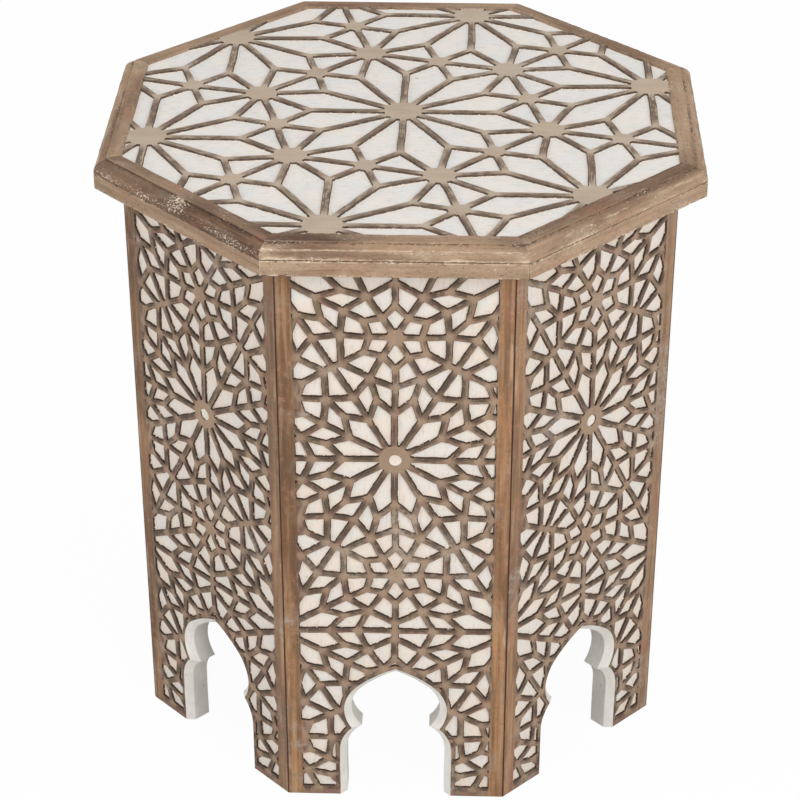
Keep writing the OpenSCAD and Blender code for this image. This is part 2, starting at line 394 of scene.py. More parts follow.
def arc(centre, r, first, last, steps):
    """Points on an arc, with the first but without the last."""
    angles = [first + (last - first) * k / steps for k in range(steps)]
    return [centre + Vector((r * cos(a), r * sin(a))) for a in angles]


def where_arcs_meet(first, first_r, second, second_r):
    way = (second - first).normalized()
    gap = (second - first).length
    along = (first_r ** 2 - second_r ** 2 + gap ** 2) / (2 * gap)
    off = sqrt(first_r ** 2 - along ** 2)
    return first + along * way + off * Vector((way.y, -way.x))


def arch_line(inset):
    """The arch's outline in metres, moved inwards by inset millimetres, from below the floor."""
    cusp = where_arcs_meet(foot_centre, foot_r - inset, lobe_centre, lobe_r - inset)
    to_cusp = cusp - foot_centre
    from_cusp = cusp - lobe_centre
    point_turn = acos(-crown_centre.x / (crown_r - inset))
    right = [Vector((foot_centre.x + foot_r - inset, y)) for y in foot_heights]
    right += arc(foot_centre, foot_r - inset, 0, atan2(to_cusp.y, to_cusp.x), 8)
    lobe_first = atan2(from_cusp.y, from_cusp.x)
    right += arc(lobe_centre, lobe_r - inset, lobe_first, crown_turn, 14)
    right += arc(crown_centre, crown_r - inset, crown_turn, point_turn, 12)
    point = [crown_centre + Vector((-crown_centre.x, (crown_r - inset) * sin(point_turn)))]
    left = [Vector((-p.x, p.y)) for p in right[::-1]]
    return [p * mm for p in right + point + left]


print("arch:", len(arch_line(0)), "points, crown radius", round(crown_r, 1), "mm")


# %% The cutters of one side
window_step = 6 * mm


def window_line(inset):
    """The outline of the carved field, with points all along it so that it can wander."""
    across = ceil(2 * field_half_w / window_step)
    up = ceil((field_high - field_low) / window_step)
    spots = [(k / across, 0) for k in range(across)] + [(1, k / up) for k in range(up)]
    spots += [(1 - k / across, 1) for k in range(across)] + [(0, 1 - k / up) for k in range(up)]
    wide = 2 * (field_half_w - inset)
    tall = field_high - field_low - 2 * inset
    return [(inset - field_half_w + x * wide, field_low + inset + y * tall) for x, y in spots]


def sloped(line_at, slopes, bar):
    """The levels of a block whose sides slope as the pockets do, for a line drawn by its inset."""
    insets = [slope - bar / 2 for slope in slopes]
    levels = [(-depth, line_at(inset)) for depth, inset in zip(slope_depths, insets)]
    above = (lid_height + 1 * mm, line_at(insets[0]))
    below = (-carve_depth - 1 * mm, line_at(insets[-1]))
    return [below] + levels[::-1] + [above]


def ring(centre, r, count=40):
    turns = [radians(360 * k / count) for k in range(count)]
    return [(centre[0] + r * cos(a), centre[1] + r * sin(a)) for a in turns]


def hub(centre, r, slopes, bar):
    """A plug that keeps a round hub standing between the pockets."""
    def line_at(inset):
        return ring(centre, r + inset)
    return loft("hub", sloped(line_at, slopes, bar))


arch_rim = 3.5
side_hub_r = 12.5 * mm
side_flower_hub_r = 7 * mm
dimple_r = 5 * mm


def side_hubs():
    """The round hubs that stand in the window of one side, as a place and a radius."""
    found = []
    for x, y in side_centres:
        found.append(((x, y), side_hub_r))
        for k in range(6):
            spot = Vector((x, y)) + side_star * polar(1 / sqrt(3), 30 + 60 * k)
            found.append(((spot.x, spot.y), side_flower_hub_r))
    near = {}
    for centre, r in found:
        if abs(centre[0]) < field_half_w + r and field_low - r < centre[1] < field_high + r:
            near[(round(centre[0], 4), round(centre[1], 4))] = (centre, r)
    return list(near.values())


side_knots += side_hubs()
hub_plugs = joined([hub(centre, r, side_slopes, side_bar) for centre, r in side_hubs()])
print("points of the hubs:", len(hub_plugs.data.vertices))


# %% Carve one side
side_swings = [(1.1 * mm, 55 * mm), (0.5 * mm, 13 * mm), (0.38 * mm, 4 * mm)]


def side_pockets(seed):
    """All pockets of one side, with their own wander."""
    def arch_rim_line(inset):
        return arch_line(-arch_rim - inset / mm)
    pockets = copy_of(side_cells)
    wandered(pockets, seed, side_swings)
    window = loft("window", sloped(window_line, side_slopes, side_bar))
    wandered(window, seed + 3, [(0.4 * mm, 12 * mm), (0.2 * mm, 4 * mm)])
    cut(pockets, window, "INTERSECT")
    plugs = copy_of(hub_plugs)
    wandered(plugs, seed, [(1.1 * mm, 55 * mm), (0.4 * mm, 9 * mm)])
    cut(pockets, plugs)
    rim = loft("arch_rim", sloped(arch_rim_line, side_slopes, side_bar))
    wandered(rim, seed + 5, [(0.35 * mm, 14 * mm)])
    cut(pockets, rim)
    return pockets


def arch_block(seed):
    """The solid that opens the arch, with its bevel."""
    levels = [
        (-panel_t - 1 * mm, arch_line(bevel_w)),
        (-bevel_w * mm, arch_line(bevel_w)),
        (0, arch_line(0)),
        (1 * mm, arch_line(-1)),
    ]
    block = loft("arch", levels)
    wandered(block, seed, [(0.25 * mm, 18 * mm)])
    return block


# Height in millimetres, and how wide the bowl is there
dimple_levels = ((-1.9, 0.3), (-1.6, 0.55), (-1.0, 0.78), (-0.4, 0.93), (0, 1), (1, 1))


def dimple(seed):
    """The shallow bowl that an artisan's gouge leaves in the heart of the star."""
    heart = (0, star_height)
    bowl = loft("dimple", [(z * mm, ring(heart, wide * dimple_r)) for z, wide in dimple_levels])
    wandered(bowl, seed, [(0.5 * mm, 7 * mm)])
    return bowl


# %% [markdown]
# ## The boards of the sides
# A board starts as a plank. Its long edges are mitred by two bisecting cuts, and its front edges
# are eased a little, which leaves the fine dark line between two neighbours. Then it is carved
# and its arch is opened.

# %% The plank
def plank(name, half_w, low, high, thick):
    """A board on the bench with both long edges mitred."""
    bpy.ops.object.select_all(action="DESELECT")
    bpy.ops.mesh.primitive_cube_add(size=1, location=(0, (low + high) / 2, -thick / 2))
    board = bpy.context.object
    board.name = name
    board.scale = (2 * half_w, high - low, thick)
    bpy.ops.object.transform_apply(location=True, rotation=True, scale=True)
    start_editing(board)
    for hand in (-1, 1):
        bpy.ops.mesh.select_all(action="SELECT")
        bpy.ops.mesh.bisect(
            plane_co=(hand * half_w, 0, 0),
            plane_no=(hand * cos(HALF_CORNER), 0, -sin(HALF_CORNER)),
            clear_outer=True,
            use_fill=True,
        )
    stop_editing()
    return board


panel_ease = 0.7 * mm
panel_cuts = 40
panel_swing = 0.25 * mm


def on_face(edge):
    return all(vertex.co.z > -0.01 * mm for vertex in edge.verts)


def eased(board, seed):
    """Rounds the front edges, and divides the long ones so that they wear unevenly."""
    start_editing(board)
    choose(board, "EDGE", on_face)
    bpy.ops.mesh.bevel(offset=panel_ease, segments=2, affect="EDGES")
    stop_editing()
    start_editing(board)
    choose(board, "EDGE", lambda edge: edge.calc_length() > 100 * mm)
    bpy.ops.mesh.subdivide(number_cuts=panel_cuts)
    stop_editing()
    for vertex in board.data.vertices:
        drift = noise.noise(vertex.co / (9 * mm) + Vector((seed, 0, 0)))
        vertex.co.x -= panel_swing * abs(drift) * (1 if vertex.co.x > 0 else -1)


def carved_side(number):
    """One finished side, still on the bench."""
    board = plank("carved_side_%d" % number, panel_half_w, 0, panel_h, panel_t)
    eased(board, number)
    cut(board, side_pockets(number))
    cut(board, dimple(number))
    cut(board, arch_block(number))
    swept(board)
    return board


sides = [carved_side(number) for number in range(1, SIDES + 1)]
print("faces of one side:", len(sides[0].data.polygons))

# %% [markdown]
# ## The star pattern of the top
# The top has larger and simpler stars on the same kind of grid: twelve long kites round each
# heart, and triangles between them. It is turned by 15 degrees, so no ray runs square to an edge.

# %% The cells and pockets of the top
top_star = 200 * mm
top_tilt = 15
ray = 0.36
top_slice = [[polar(ray, 15), HALF_WAY, FLOWER]]
top_kites = [
    [HEART, polar(ray, -15), HALF_WAY, polar(ray, 15)],
    [HEART, polar(ray, 15), FLOWER, polar(ray, 45)],
]
top_bar = 6 * mm
top_knot_r = 3 * mm
top_long_edge = 5 * mm
carved_r = 207.7 * mm

top_centres = [HEART] + [top_star * polar(1, top_tilt + 60 * k) for k in range(6)]


def octagon_reach(point):
    """The half width of the octagon on whose edge a point lies."""
    ways = [radians(45 * k) for k in range(4)]
    return max(abs(point.x * cos(a) + point.y * sin(a)) for a in ways)


star_cells = joined([
    turned_copies(mirrored_too(cells("slice", top_slice, top_star)), 6, 60),
    turned_copies(cells("kites", top_kites, top_star), 6, 60),
])
top_cells = field_of_stars(star_cells, top_centres, top_tilt)
drop_cells(top_cells, lambda point: octagon_reach(point) > carved_r + margin)
top_knots = [(spot, top_knot_r) for spot in knots_of(top_cells)]
top_bars = bars_of(top_cells)
sink(top_cells, top_slopes, top_long_edge)
print("pocket faces of the top:", len(top_cells.data.polygons))


# %% Cut the pockets of the top to their window and round their hubs
def octagon_line(r, count):
    """An octagon that lies flat against the front, with count points along each side."""
    corners = [r / cos(HALF_CORNER) * polar(1, 45 * k - 22.5) for k in range(SIDES)]
    line = []
    for here, there in zip(corners, corners[1:] + corners[:1]):
        line += [here + (there - here) * k / count for k in range(count)]
    return line


top_hub_kinds = ((HEART, 15.7 * mm), (FLOWER, 13 * mm), (HALF_WAY, 8.9 * mm))


def top_hubs():
    """The round hubs of the top, which are larger the more bars they join."""
    near = {}
    for centre in top_centres:
        for spot, r in top_hub_kinds:
            for k in range(6):
                place = centre + (turn(60 * k + top_tilt) @ (top_star * spot).to_3d()).xy
                if octagon_reach(place) < carved_r + r:
                    near[(round(place.x, 3), round(place.y, 3))] = (place, r)
    return list(near.values())


def top_pockets(seed):
    """All pockets of the top, with their own wander."""
    def carved_line(inset):
        return octagon_line(carved_r - inset, 28)
    window = loft("window", sloped(carved_line, top_slopes, top_bar))
    wandered(window, seed, [(0.45 * mm, 14 * mm), (0.2 * mm, 5 * mm)])
    wandered(top_cells, seed, [(1.2 * mm, 60 * mm), (0.5 * mm, 17 * mm), (0.2 * mm, 5 * mm)])
    cut(top_cells, window, "INTERSECT")
    plugs = joined([hub(place, r, top_slopes, top_bar) for place, r in top_hubs()])
    wandered(plugs, seed, [(1.2 * mm, 60 * mm), (0.6 * mm, 9 * mm)])
    cut(top_cells, plugs)
    return top_cells


# %% [markdown]
# ## The top board and its rounded rim
# The board is an octagon with a small step at the edge of its face, then a quarter round, then a
# short upright edge. It could be swept along a profile, but each ring of the profile is one inset
# of the face, so the same tool draws the whole rim. The eight corners are rounded a little, and
# the rim is divided along its length and worn in by a noise, as years of knocks would do.

# %% The blank of the top board
rim_r = 8.8 * mm
rim_step = 1.2 * mm
border_w = 12 * mm
corner_ease = 1.4 * mm
rim_cuts = 95
upright_h = table_h - rim_step - rim_r - board_low_z


def rim_insets():
    """Each inset of the face that follows the rim, as (how far in, how far up)."""
    turns = [radians(15 * k) for k in range(7)]
    spots = [(rim_r * (1 - cos(a)), rim_r * sin(a)) for a in turns]
    insets = [(there[0] - here[0], there[1] - here[1]) for here, there in zip(spots, spots[1:])]
    return insets + [(0.1 * mm, rim_step - 0.3 * mm), (0.3 * mm, 0.3 * mm), (border_w - 0.4 * mm, 0)]


def top_blank():
    """The octagonal board with its face at height 0 on the bench."""
    board = outline("carved_top", octagon_line(top_r, 1), board_low_z - table_h)
    start_editing(board, "SELECT")
    bpy.ops.mesh.extrude_region_move(TRANSFORM_OT_translate={"value": (0, 0, upright_h)})
    for inward, upward in rim_insets():
        bpy.ops.mesh.inset(thickness=inward, depth=upward)
    choose(board, "EDGE", lambda edge: fall(edge) > 0.01 * mm and edge.calc_length() < 5 * mm)
    bpy.ops.mesh.bevel(offset=corner_ease, segments=2, affect="EDGES")
    choose(board, "EDGE", lambda edge: edge.calc_length() > 100 * mm)
    bpy.ops.mesh.subdivide(number_cuts=rim_cuts)
    stop_editing()
    return board


def worn_in(piece, seed, far, length, wanted):
    """Presses in the corners that are wanted, by up to far, in dents of about this length."""
    normals = [vertex.normal.copy() for vertex in piece.data.vertices]
    for vertex, normal in zip(piece.data.vertices, normals):
        if wanted(vertex.co):
            dent = noise.noise(vertex.co / length + Vector((seed, 0, 0)))
            vertex.co -= far * max(0, 0.35 + dent) * normal


top = top_blank()
print("top's rim faces:", len(top.data.polygons), "volume's box:", top.dimensions)
worn_in(top, 2, 0.35 * mm, 14 * mm, lambda point: -10.5 * mm < point.z < -0.9 * mm)
worn_in(top, 5, 0.4 * mm, 3.5 * mm, lambda point: -11.5 * mm < point.z < -0.2 * mm)
cut(top, top_pockets(11))


# %% Clean the face of the top
def on_the_face(face):
    return face.normal.z > 0.9 and face.calc_center_median().z > -0.3 * mm


def in_the_border(face):
    return octagon_reach(face.calc_center_median()) > carved_r


def clean_face(board):
    """Cuts the flat face along the border's inner edge, and evens the triangles on both sides."""
    start_editing(board)
    for k in range(SIDES):
        way = polar(1, 45 * k).to_3d()
        choose(board, "FACE", on_the_face)
        bpy.ops.mesh.bisect(plane_co=carved_r * way, plane_no=way)
    choose(board, "FACE", on_the_face)
    bpy.ops.mesh.quads_convert_to_tris(quad_method="BEAUTY", ngon_method="BEAUTY")
    for border in (True, False):
        choose(board, "FACE", lambda face: on_the_face(face) and in_the_border(face) == border)
        bpy.ops.mesh.beautify_fill(angle_limit=radians(0.5))
    stop_editing()


clean_face(top)
swept(top)
print("faces of the top:", len(top.data.polygons))

# %% [markdown]
# ## The strips under the rim
# Eight strips run round the body under the board, mitred at the corners. Each is a plank lying
# across, with its four long edges eased more than a panel's, and worn in dents along them.

# %% One strip
strip_half_w = strip_high.x
strip_t = strip_high.y - strip_low.y
strip_ease = 0.8 * mm
strip_border = 1.6 * mm
strip_cuts = 79


def edge_strip(number):
    board = plank("rim_strip_%d" % number, strip_half_w, strip_low.z, strip_high.z, strip_t)
    start_editing(board)
    choose(board, "EDGE", lambda edge: on_face(edge) and edge.calc_length() > 100 * mm)
    bpy.ops.mesh.bevel(offset=strip_ease, segments=2, affect="EDGES")
    choose(board, "FACE", lambda face: face.normal.z > 0.99)
    bpy.ops.mesh.inset(thickness=strip_border)
    choose(board, "EDGE", lambda edge: edge.calc_length() > 100 * mm)
    bpy.ops.mesh.subdivide(number_cuts=strip_cuts)
    stop_editing()
    worn_in(board, number, 0.3 * mm, 11 * mm, lambda point: point.z > -1.5 * mm)
    worn_in(board, number + 9, 0.35 * mm, 3.5 * mm, lambda point: point.z > -0.9 * mm)
    return board


strips = [edge_strip(number) for number in range(1, SIDES + 1)]
print("faces of one strip:", len(strips[0].data.polygons))

# %% [markdown]
# ## Grain, depth and wear, written on the mesh
# A finish has to know where it is on its own plank: wood figure runs along the plank, charred walls,
# painted darker as shade, and white floors lie at a depth, and wear, which on the rim is also a painted
# highlight, shows at the outer edges. World coordinates can't tell, because the planks face eight
# ways. So marks are written on the mesh while the planks lie flat.

# %% How dark and how worn each of the eight sides is, from the front anticlockwise
side_shades = [0.45, 0.2, 0.6, 0.3, 0.55, 0.4, 0.7, 0.55]
strip_shades = [0.05, -0.15, 0.3, 0.4, 0.2, 0.5, 0.3, 0.3]
rim_shades = [0.4, 0.3, 0.1, 0.35, 0.4, 0.3, 0.2, 0.95]
border_shades = [0.5, 0.45, 0.3, 0.4, 0.5, 0.45, 0.2, 0.45]
# How brown, rather than grey, the plain edges of each side are
side_browns = [1.0, 0.4, 0.8, 0.6, 0.9, 0.5, 0.8, 0.5]
# How rubbed each side of the rim is, which also scales its painted highlight, and how chipped it is
rim_rubs = [1.0, 0.7, 0.8, 0.8, 0.9, 0.7, 0.9, 0.15]
rim_chips = [1.1, 1.0, 0.6, 0.7, 0.8, 0.6, 0.7, 0.8]
# Height in millimetres, wear below it (along the middle of the round also a painted highlight, and
# negative where the rim is painted darker) and chipping
rim_rows = [
    (-10.9, -0.7, 0.7), (-9.9, 1.0, 1.0), (-7.6, 0.2, 0.2), (-5.5, 0.2, 0.4), (-3.7, 0.95, 0.9),
    (-2.3, 0.1, 0.3), (-1.45, -0.4, 0.6), (-0.8, -0.75, 1.0), (-0.2, -0.3, 0.9), (1, 0.0, 0.2),
]


# %% Find the nearest knots and the nearest bar
def finder(spots):
    """A tree that finds the nearest of these flat places."""
    tree = kdtree.KDTree(len(spots))
    for index, spot in enumerate(spots):
        tree.insert((spot[0], spot[1], 0), index)
    tree.balance()
    return tree


def knot_mark(knots, fade):
    """A mark that is 1 where bars meet, and fades to 0 along a bar."""
    tree = finder([spot for spot, r in knots])

    def closeness(face, point):
        found = tree.find_n((point.x, point.y, 0), 3)
        gap = min(far - knots[index][1] for spot, index, far in found)
        return 1 - min(1, max(0, gap) / fade)
    return closeness


def run_mark(bars):
    """A mark that says how far across its bar and along it a place is, and the bar's number."""
    tree = finder([middle for middle, way, number in bars])

    def run(face, point):
        spot, index, far = tree.find((face.center.x, face.center.y, 0))
        middle, way, number = bars[index]
        if way.x < 0:
            way = -way
        return (way.cross(point.xy - middle), way.dot(point.xy), number * 0.1)
    return run


# %% Write the marks at every corner of every face
def write_marks(piece, **marks):
    """Works out every mark first, and then writes each as an attribute of numbers or vectors."""
    values = {name: [] for name in marks}
    for face in piece.data.polygons:
        for index in face.vertices:
            point = piece.data.vertices[index].co
            for name, mark_at in marks.items():
                values[name].append(mark_at(face, point))
    for name, found in values.items():
        if isinstance(found[0], tuple):
            piece.data.attributes.new(name, "FLOAT_VECTOR", "CORNER")
            numbers = [number for value in found for number in value]
            piece.data.attributes[name].data.foreach_set("vector", numbers)
        else:
            piece.data.attributes.new(name, "FLOAT", "CORNER")
            piece.data.attributes[name].data.foreach_set("value", found)


# %% Marks of a side: its grain runs up the board, and its long edges are worn
stile_wear_w = 12 * mm
shade_lean = 0.12
brown_lean = 0.25
painted_depth = 2.5
side_knot_mark = knot_mark(side_knots, 4 * mm)
side_run_mark = run_mark(side_bars)


def side_marks(board, number):
    def depth_at(face, point):
        in_dimple = (point.xy - Vector((0, star_height))).length < 0.96 * dimple_r
        return painted_depth if in_dimple and point.z < 0 else -point.z / mm
    write_marks(
        board,
        grain=lambda face, point: (point.x + 0.37 * number, point.y + 1.3 * number, point.z),
        wear=lambda face, point: max(0.0, 1 - (panel_half_w - abs(point.x)) / stile_wear_w),
        depth=depth_at,
        shade=lambda face, point: side_shades[number - 1] - shade_lean * point.x / panel_half_w,
        knot=side_knot_mark,
        brown=lambda face, point: side_browns[number - 1] + (brown_lean if point.x < 0 else 0),
        run=side_run_mark,
    )


for number, board in enumerate(sides, 1):
    side_marks(board, number)


# %% Marks of a strip: its grain runs along it, its front edges are worn, and its joints are dirty and painted darker as shade
strip_dirt_and_shade = -0.8
strip_chips = 1.3


def strip_marks(strip, number):
    def edge_gap(point):
        return min(point.y - strip_low.z, strip_high.z - point.y)

    def wear_at(face, point):
        if edge_gap(point) > 1.5 * mm or point.z < -4 * mm:
            return 0.0
        rubbed = edge_gap(point) > 0.6 * mm and point.z > -0.3 * mm
        # At the joints the strip is marked darker, as dirt and painted shade
        return rim_rubs[number - 1] if rubbed else strip_dirt_and_shade
    write_marks(
        strip,
        grain=lambda face, point: (point.y + 0.53 * number, point.x + 2.1 * number, point.z),
        wear=wear_at,
        shade=lambda face, point: strip_shades[number - 1],
        chips=lambda face, point: strip_chips if edge_gap(point) < 1.5 * mm else 0.0,
    )


for number, strip in enumerate(strips, 1):
    strip_marks(strip, number)


# %% Marks of the top: the grain of its field runs from left to right, and its rim's along each side
crust_side = 8
crust_spot = Vector((221 * mm, -3 * mm, -3 * mm))
crust_r = 15 * mm
crust_low_z = -7.5 * mm
stain_spot = Vector((-62 * mm, -216 * mm, 0))
stain_r = 42 * mm
field_shade = 0.4


def turn_of(face):
    return round(atan2(face.center.y, face.center.x) / radians(45))


def side_of(face):
    """The side of the table that a face of the rim is on, with 0 for the front."""
    return (turn_of(face) + 2) % SIDES


def flat(face, point):
    """The place turned so that its side of the rim faces along X."""
    return Matrix.Rotation(-radians(45 * turn_of(face)), 3, "Z") @ point


def in_field(face):
    return octagon_reach(face.center) < carved_r - 0.01 * mm or face.normal.z < -0.9


def rim_row(point):
    return [row for row in rim_rows if point.z / mm < row[0]][0]


def top_grain(face, point):
    if in_field(face):
        return (point.y + 7.7, point.x + 3.1, point.z)
    place = flat(face, point)
    return (place.x - point.z + 0.61 * turn_of(face), place.y + 1.7 * turn_of(face), 0)


# The rim's wear mark also paints a highlight along the middle of the round, and darkens the step
def top_wear_and_sheen(face, point):
    wear = 0.0 if in_field(face) else rim_row(point)[1]
    return wear * rim_rubs[side_of(face)] if wear > 0 else wear


def top_chips(face, point):
    if in_field(face):
        return 0.0
    crust = 0.0
    if side_of(face) == crust_side - 1:
        crust = 2.4 * max(0, 1 - (flat(face, point) - crust_spot).length / crust_r)
        crust += 1.5 * max(0, 1 - abs(point.z - crust_low_z) / (3 * mm))
    return rim_row(point)[2] * rim_chips[side_of(face)] + crust


def top_shade(face, point):
    if in_field(face):
        return field_shade
    if face.center.z < -0.3 * mm or face.normal.z < 0.9:
        return rim_shades[side_of(face)]
    return border_shades[side_of(face)] + 0.8 * max(0, 1 - (point - stain_spot).length / stain_r)


write_marks(
    top,
    grain=top_grain,
    wear=top_wear_and_sheen,
    depth=lambda face, point: -point.z / mm if in_field(face) else 0.0,
    shade=top_shade,
    knot=knot_mark(top_knots + top_hubs(), 9 * mm),
    chips=top_chips,
    run=run_mark(top_bars),
)
print("attributes:", [item.name for item in top.data.attributes if not item.name.startswith(".")])


# %% [markdown]
# ## Mixing a finish
# A finish is a small graph of nodes. Wiring them by hand is slow to read, so a wire is wrapped in
# a class whose sums add Math nodes, and one method adds every other kind of node.

# %% A wire whose sums add nodes
def colour(red, green, blue):
    """A colour given as on a paint card, from 0 to 255, as Blender's linear one."""
    def linear(value):
        share = value / 255
        return share / 12.92 if share <= 0.04045 else ((share + 0.055) / 1.055) ** 2.4
    return (linear(red), linear(green), linear(blue), 1.0)


class Wire:
    """A value that runs between nodes. Sums on it add Math nodes."""

    def __init__(self, finish, socket):
        self.finish = finish
        self.socket = socket

    def maths(self, way, first, second):
        return self.finish.node("ShaderNodeMath", {"operation": way}, [first, second])

    def __add__(self, other):
        return self.maths("ADD", self, other)

    def __sub__(self, other):
        return self.maths("SUBTRACT", self, other)

    def __rsub__(self, other):
        return self.maths("SUBTRACT", other, self)

    def __mul__(self, other):
        return self.maths("MULTIPLY", self, other)

    __radd__ = __add__
    __rmul__ = __mul__


# %% A finish, built up node by node
class Finish:
    """A material with one Principled shader. Paints are wires, or red, green and blue to 255."""

    def __init__(self, name):
        self.material = bpy.data.materials.new(name)
        self.material.use_nodes = True
        self.tree = self.material.node_tree
        self.tree.nodes.clear()
        self.shader = self.tree.nodes.new("ShaderNodeBsdfPrincipled")
        self.out = self.tree.nodes.new("ShaderNodeOutputMaterial")
        self.plug(self.out.inputs["Surface"], Wire(self, self.shader.outputs[0]))

    def plug(self, socket, value):
        if isinstance(value, Wire):
            self.tree.links.new(value.socket, socket)
        else:
            socket.default_value = value

    def node(self, kind, settings=None, inputs=(), output=0):
        """Adds a node: its settings first, then its sockets by place or by name."""
        node = self.tree.nodes.new(kind)
        for name, value in (settings or {}).items():
            setattr(node, name, value)
        pairs = inputs.items() if isinstance(inputs, dict) else enumerate(inputs)
        for key, value in pairs:
            self.plug(node.inputs[key], value)
        return Wire(self, node.outputs[output])

    def mark(self, name, output="Fac"):
        """Reads one of the attributes written on the mesh."""
        return self.node("ShaderNodeAttribute", {"attribute_name": name}, output=output)

    def figure(self, scale, detail=4.0, rough=0.6, bend=0.0, place=None):
        """A noise in the grain, or in another place, scaled across, along and into the wood."""
        place = place or self.mark("grain", "Vector")
        spot = self.node("ShaderNodeMapping", None, {"Vector": place, "Scale": scale})
        sockets = {"Vector": spot, "Scale": 1.0, "Detail": detail, "Roughness": rough}
        sockets["Distortion"] = bend
        return self.node("ShaderNodeTexNoise", None, sockets)

    def step(self, value, low, high):
        """0 at low, 1 at high, and a smooth slope between."""
        sockets = {"Value": value, "From Min": low, "From Max": high}
        return self.node("ShaderNodeMapRange", {"interpolation_type": "SMOOTHSTEP"}, sockets)

    def blend(self, share, *paints):
        """A colour between two paints."""
        first, second = [item if isinstance(item, Wire) else colour(*item) for item in paints]
        sockets = {0: share, 6: first, 7: second}
        return self.node("ShaderNodeMix", {"data_type": "RGBA"}, sockets, output=2)

    def glazed(self, tone, glazes):
        """Lays paints over a tone in turn. Each is (paint, how much, a value, its low, its high)."""
        for paint, amount, value, low, high in glazes:
            tone = self.blend(self.step(value, low, high) * amount, tone, paint)
        return tone

    def bump(self, height, far, strength, under=None):
        sockets = {"Height": height, "Distance": far, "Strength": strength}
        if under is not None:
            sockets["Normal"] = under
        return self.node("ShaderNodeBump", None, sockets)

    def set(self, **sockets):
        for name, value in sockets.items():
            self.plug(self.shader.inputs[name.replace("_", " ")], value)


# %% [markdown]
# ## Worn brown wood
# The wood is a greyish mid brown with a fine straight grain, redder in places and lighter where
# it is rubbed. Each of these is a noise stretched along the grain, and they are blended one over
# the other. White paint was rubbed off the faces, so it is left in specks, streaks and crusts.

# %% The wood's own colour
def wood_tone(finish, light, dark, fibre_share=0.5):
    """Brown wood with its figure, as a colour and a height for the bump."""
    broad = finish.figure((30, 5, 30), 3.0, 0.5, 0.6)
    fibre = finish.figure((240, 9, 240), 6.0, 0.62, 0.3)
    pores = finish.figure((900, 45, 900), 2.0, 0.5)
    patch = finish.figure((45, 22, 45), 3.0)
    share = finish.mark("shade") + (finish.step(broad, 0.3, 0.7) - 0.5) * 0.7
    tone = finish.glazed(finish.blend(finish.step(share, 0.0, 1.0), light, dark), [
        ((92, 68, 50), fibre_share, fibre, 0.45, 0.66),
        ((186, 158, 130), fibre_share * 0.6, fibre, 0.5, 0.3),
        ((156, 104, 80), 0.5, patch, 0.52, 0.75),
        ((146, 132, 112), 0.5, patch, 0.45, 0.25),
        ((80, 58, 44), 0.3, pores, 0.6, 0.72),
    ])
    return tone, fibre * 0.6 + pores * 0.4


def paint_dust(finish, tone, amount):
    """White paint that clings in specks and short streaks, more in some places than in others."""
    where = finish.step(finish.figure((16, 10, 16), 3.0), 0.45, 0.7)
    specks = finish.figure((700, 420, 700), 5.0, 0.75)
    streaks = finish.figure((330, 26, 330))
    crust = finish.figure((110, 60, 110), 6.0, 0.7)
    return finish.glazed(tone, [
        ((198, 180, 160), (where + 0.2) * 0.4 * amount, streaks, 0.5, 0.72),
        ((226, 212, 197), amount, specks + where * 0.08, 0.66, 0.72),
        ((226, 214, 201), 0.9 * amount, crust + where * 0.05, 0.7, 0.73),
    ])
